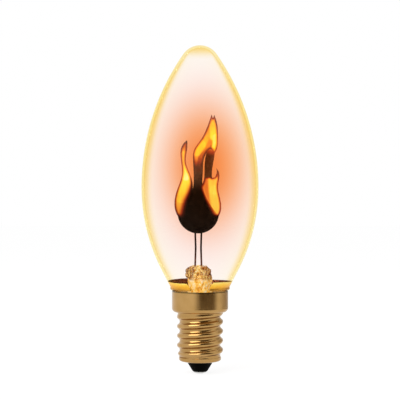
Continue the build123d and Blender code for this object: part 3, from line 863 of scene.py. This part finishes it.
def flame_piece(name, node_name, heat_of, material):
    """A flame plate with points close enough to carry its glow."""
    outline, front, back = plate_outline(node_name)
    flat, cells = plate_cells(outline)
    verts = [(p.x, y, p.y) for y in (front, back) for p in flat]
    made = object_from(name, mesh_from(name, verts, two_skins(cells, len(flat))), material)
    values = [point_heat(p, outline, heat_of) for p in flat]
    made.data.attributes.new("flame_heat", "FLOAT", "POINT").data.foreach_set("value", values * 2)
    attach(made, "root")
    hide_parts(node_name)


def film_radius(height):
    """Radius at which the film is seen: the lip, then the cone of the neck above it."""
    return LIP_RADIUS + max(0.0, height - LIP_TOP) * NECK_SLOPE - FILM_DEPTH


def film_rise(middle, tilt, share):
    """Height of a patch of film at a share of its half width: tilted, ragged, rounded at its ends."""
    angle = math.radians(middle + share * FILM_HALF_ANGLE)
    ragged = noise.noise(Vector((middle + share * FILM_WAVES, 0.0, FILM_NOISE_HEIGHT))) * FILM_RAGGED
    end = between((FILM_END_SHARE, 1), eased(1 - abs(share), 0.0, FILM_CORNER))
    return (FILM_TOP - FILM_BOTTOM + ragged + tilt * math.sin(angle)) * end


def film_patch(middle, tilt):
    """Points and faces of one patch of film, two skins joined along their border."""
    width = FILM_COLUMNS + 1
    verts = []
    for layer in (0, 1):
        for row in range(FILM_ROWS + 1):
            for column in range(width):
                share = column / FILM_COLUMNS * 2 - 1
                angle = math.radians(middle + share * FILM_HALF_ANGLE)
                height = FILM_BOTTOM + film_rise(middle, tilt, share) * row / FILM_ROWS
                radius = film_radius(height) - layer * FILM_THICKNESS
                verts.append((radius * math.cos(angle), radius * math.sin(angle), height))
    cells = []
    for row in range(FILM_ROWS):
        for column in range(FILM_COLUMNS):
            corner = row * width + column
            cells.append([corner, corner + 1, corner + width + 1, corner + width])
    return verts, two_skins(cells, (FILM_ROWS + 1) * width)


def getter_film(material):
    """Two patches of film in the neck, left and right of the stem."""
    for name, (middle, tilt) in FILM_PATCHES.items():
        mesh = mesh_from(name, *film_patch(middle, tilt))
        mesh.shade_smooth()
        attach(object_from(name, mesh, material), "root")


def neon_gas(material):
    """The gas that fills the envelope, bounded by the inside of its wall."""
    work = bmesh.new()
    work.from_mesh(nodes["glass_envelope"].data)
    bmesh.ops.remove_doubles(work, verts=work.verts, dist=WELD_GAP)
    outer = []
    for face in work.faces:
        middle = face.calc_center_median()
        if face.normal.dot(middle - GAS_MIDDLE) > 0 or middle.z < GAS_FLOOR:
            outer.append(face)
    bmesh.ops.delete(work, geom=outer, context="FACES")
    bmesh.ops.holes_fill(work, edges=[e for e in work.edges if e.is_boundary])
    bmesh.ops.recalc_face_normals(work, faces=work.faces)
    for vert in work.verts:
        vert.co = GAS_MIDDLE + (vert.co - GAS_MIDDLE) * GAS_SHRINK
    mesh = bpy.data.meshes.new("neon_gas")
    work.to_mesh(mesh)
    work.free()
    mesh.shade_smooth()
    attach(object_from("neon_gas", mesh, material), "root")


def stem_shift(place, normal):
    """How far a point of the stem moves.

    It goes out or in on lumps and ribs, in at the small hole, and down at the top and shoulders.
    """
    spot = Vector(c / size for c, size in zip(place, STEM_LUMP_SIZE))
    lump = noise.noise(spot) + FINE_LUMP_SHARE * noise.noise(spot * FINE_LUMP_SCALE)
    aside = abs(place.x - PRESS_MIDDLE)
    ribbed = eased(aside, *RIB_SIDES) * eased(place.z, *PRESS_FOOT)
    rib = math.cos((aside + abs(place.y)) * math.tau / RIB_SPACING) * ribbed
    out = (lump * STEM_LUMPS + rib * RIB_DEPTH) * eased(place.z, *STEM_SMOOTH_BELOW)
    gap = math.dist((place.x, place.z), HOLE_PLACE) / HOLE_WIDTH
    hole = math.exp(-gap * gap) * HOLE_DEPTH * max(0.0, -normal.y)
    drop = (TOP_DROP + SHOULDER_DROP * eased(aside, *SHOULDER_SIDES)) * eased(place.z, *SHOULDER_HEIGHTS)
    return normal * (out - hole) - Vector((0, 0, drop))


def rough_stem(material):
    """The stem with the lumpy skin of pressed glass."""
    source = object_from("stem", nodes["glass_stem"].data.copy(), material)
    remesh = source.modifiers.new("remesh", "REMESH")
    remesh.mode = "VOXEL"
    remesh.voxel_size = STEM_VOXEL
    shape = bpy.context.evaluated_depsgraph_get()
    mesh = bpy.data.meshes.new_from_object(source.evaluated_get(shape))
    bpy.data.objects.remove(source)
    shifts = [stem_shift(vert.co, vert.normal) for vert in mesh.vertices]
    for vert, shift in zip(mesh.vertices, shifts):
        vert.co += shift
    mesh.shade_smooth()
    made = object_from("rough_stem", mesh, material)
    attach(made, "root")
    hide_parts("glass_stem")


# Stage


def seen_rays(tree):
    """1 for what the camera sees, straight, in a gloss or through glass."""
    path = add(tree, "ShaderNodeLightPath")
    seen = math_node(tree, "MAXIMUM", path.outputs["Is Camera Ray"], path.outputs["Is Transmission Ray"])
    return math_node(tree, "MAXIMUM", seen, path.outputs["Is Glossy Ray"])


def studio_world():
    """White to the camera, in gloss and through glass, a plain fill to everything else."""
    world = bpy.data.worlds.new("studio")
    bpy.context.scene.world = world
    world.use_nodes = True
    tree = world.node_tree
    tree.nodes.clear()
    strength = math_node(tree, "MULTIPLY_ADD", seen_rays(tree), 1 - FILL_LEVEL, FILL_LEVEL)
    back = add(tree, "ShaderNodeBackground", {"Color": WHITE, "Strength": strength})
    out = tree.nodes.new("ShaderNodeOutputWorld")
    tree.links.new(back.outputs[0], out.inputs["Surface"])


def around(angle, distance, height):
    """A place round the lamp, by its angle from the camera."""
    turn = math.radians(angle)
    return Vector((math.sin(turn) * distance, -math.cos(turn) * distance, height))


def softbox():
    """A softbox high on the left, which makes the highlights on the thread."""
    data = bpy.data.lights.new("softbox", "AREA")
    data.shape = "RECTANGLE"
    data.size, data.size_y = SOFTBOX_SIDES
    data.energy = SOFTBOX_BRIGHTNESS * math.pi * SOFTBOX_SIDES[0] * SOFTBOX_SIDES[1]
    made = bpy.data.objects.new("softbox", data)
    tilt = math.radians(SOFTBOX_TILT)
    away = SOFTBOX_DISTANCE * math.cos(tilt)
    made.location = around(SOFTBOX_ANGLE, away, SOFTBOX_DISTANCE * math.sin(tilt))
    made.rotation_euler = (-made.location).to_track_quat("-Z", "Y").to_euler()
    made.visible_camera = False
    made.visible_transmission = False
    bpy.context.scene.collection.objects.link(made)


def flag_material(name, tone, angles, fades):
    """A plain tone that fades to nothing at both ends of the card."""
    material, tree = new_material(name)
    across, depth, _ = axes_on(tree)
    forward = math_node(tree, "MULTIPLY", depth, -1.0)
    angle = math_node(tree, "DEGREES", math_node(tree, "ARCTAN2", across, forward))
    start, end = angles
    rise = smooth_step(tree, angle, start, start + fades[0])
    fall = smooth_step(tree, angle, end, end - fades[1])
    share = math_node(tree, "MULTIPLY", rise, fall)
    clear = add(tree, "ShaderNodeBsdfTransparent")
    card = add(tree, "ShaderNodeBsdfDiffuse", {"Color": tone})
    shader = add(tree, "ShaderNodeMixShader", {0: share, 1: clear.outputs[0], 2: card.outputs[0]})
    finish_material(tree, shader)
    return material


def flag(name, tone, angles, fades, heights):
    """A card curved round the lamp that only gloss sees; the brass reflects it as a darker band."""
    verts = []
    for step in range(FLAG_STEPS + 1):
        for height in heights:
            verts.append(around(between(angles, step / FLAG_STEPS), FLAG_RADIUS, height))
    faces = [[2 * n, 2 * n + 2, 2 * n + 3, 2 * n + 1] for n in range(FLAG_STEPS)]
    made = object_from(name, mesh_from(name, verts, faces), flag_material(name, tone, angles, fades))
    made.visible_camera = False
    made.visible_transmission = False
    made.visible_diffuse = False
    made.visible_shadow = False


def floor():
    """Plain floor under the contact; it lifts itself to white where it is seen and keeps the shadow."""
    material, tree = new_material("floor")
    seen = seen_rays(tree)
    tone = math_node(tree, "MULTIPLY_ADD", seen, FLOOR_TONE * (FLOOR_SEEN_SHARE - 1), FLOOR_TONE)
    paper = add(tree, "ShaderNodeBsdfDiffuse", {"Color": tone})
    lift = add(tree, "ShaderNodeEmission", {"Strength": math_node(tree, "MULTIPLY", seen, FLOOR_LIFT)})
    finish_material(tree, add(tree, "ShaderNodeAddShader", {0: paper.outputs[0], 1: lift.outputs[0]}))
    half = FLOOR_SIDE / 2
    corners = [(-half, -half, 0), (half, -half, 0), (half, half, 0), (-half, half, 0)]
    object_from("floor", mesh_from("floor", corners, [(0, 1, 2, 3)]), material)


def camera():
    """Level camera in front of the bulb, at the photograph's scale."""
    data = bpy.data.cameras.new("camera")
    data.sensor_width = SENSOR_WIDTH
    data.lens = SENSOR_WIDTH * CAMERA_DISTANCE / (PICTURE_SIDE / PIXELS_PER_MM * MM)
    data.clip_start = CAMERA_NEAR
    made = bpy.data.objects.new("camera", data)
    made.location = (0, -CAMERA_DISTANCE, CAMERA_HEIGHT)
    made.rotation_euler = (math.pi / 2, 0, 0)
    bpy.context.scene.collection.objects.link(made)
    bpy.context.scene.camera = made


def dress(material, *names):
    """Gives CAD nodes a material."""
    for name in names:
        slots = nodes[name].data.materials
        slots.clear()
        slots.append(material)


stem_glass = stem_glass_material()
dress(clear_glass_material(), "glass_envelope")
dress(stem_glass, "glass_stem", "exhaust_tube")
dress(brass_material(), "screw_shell")
dress(matt_material("black_glass_cone", **BLACK_GLASS), "base_insulator")
dress(metal_material("soft_solder", **SOLDER), "contact_solder", "contact_eyelet", "rim_solder")
dress(wire_material(), "front_support_wire", "rear_support_wire")
dress(
    metal_material("bare_copper", **COPPER),
    "front_seal_wire", "rear_seal_wire", "shell_lead", "resistor_feed_lead",
)
dress(matt_material("ceramic", **CERAMIC), "resistor_body")
dress(
    metal_material("tin_plate", **TIN_PLATE),
    "resistor_end_caps", "resistor_upper_lead", "resistor_lower_lead", "lead_ferrule",
)
dress(matt_material("lamp_cement", **CEMENT), "basing_cement")

flame_piece(
    "front_flame", "front_flame_plate", front_heat,
    flame_material("front_glow", FRONT_ASH, FRONT_ASH_HEIGHTS, FRONT_TINTS),
)
flame_piece(
    "rear_flame", "rear_flame_plate", rear_heat,
    flame_material("rear_glow", REAR_ASH, REAR_ASH_HEIGHTS, REAR_TINTS),
)
getter_film(film_material())
rough_stem(stem_glass)
neon_gas(glow_material())

studio_world()
softbox()
flag("low_flag", FLAG_TONE, **LOW_FLAG)
flag("high_flag", FLAG_TONE, **HIGH_FLAG)
flag("side_flag", SIDE_FLAG_TONE, **SIDE_FLAG)
floor()
camera()
scene = bpy.context.scene
scene.view_settings.view_transform = "Standard"
scene.cycles.transparent_max_bounces = TRANSPARENT_BOUNCES
